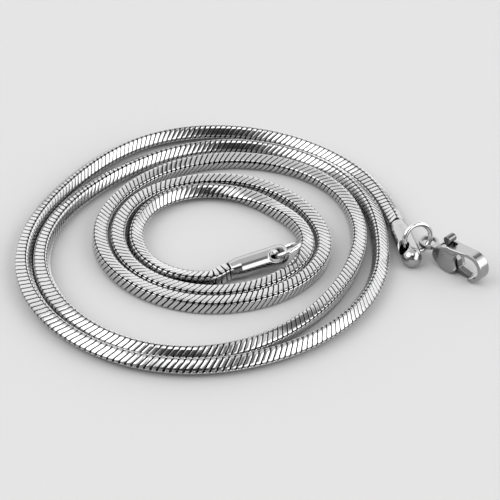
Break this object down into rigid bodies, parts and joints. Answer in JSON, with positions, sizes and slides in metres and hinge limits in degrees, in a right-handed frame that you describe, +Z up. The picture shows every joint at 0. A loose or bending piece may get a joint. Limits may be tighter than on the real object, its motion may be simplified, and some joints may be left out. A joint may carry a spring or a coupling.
{
  "type": "snake chain necklace",
  "caption": "Polished steel snake chain necklace with a square section, lying in an open flat coil, with domed end caps, jump rings and a sprung lobster clasp.",
  "frame": {"origin": "bottom centre of the necklace's box as it lies coiled on a surface", "axes": "+X along the longest extent, from the coil towards the clasp, +Z up from the surface"},
  "size_m": [0.0674, 0.0592, 0.0056],
  "materials": {
    "chain_steel": "polished",
    "cap_steel": "polished",
    "ring_steel": "polished",
    "clasp_steel": "polished",
    "lever_steel": "polished"
  },
  "bodies": {
    "necklace": {"chain_outer_turns": "chain_steel", "chain_inner_turns": "chain_steel", "clasp_end_cap": "cap_steel", "tail_end_cap": "cap_steel", "clasp_jump_ring": "ring_steel", "tail_jump_ring": "ring_steel", "clasp_body": "clasp_steel", "clasp_pin": "lever_steel"},
    "lever": {"clasp_lever": "lever_steel"}
  },
  "joints": [
    {"name": "lever_hinge", "type": "hinge", "parent": "necklace", "child": "lever", "pos_m": [0.02803, -0.00203, 0.00251], "axis": [-0.682, -0.7314, 0], "range_deg": [0, 20], "stiffness_Nm_per_rad": 0.008, "springref_deg": -5.73}
  ]
}
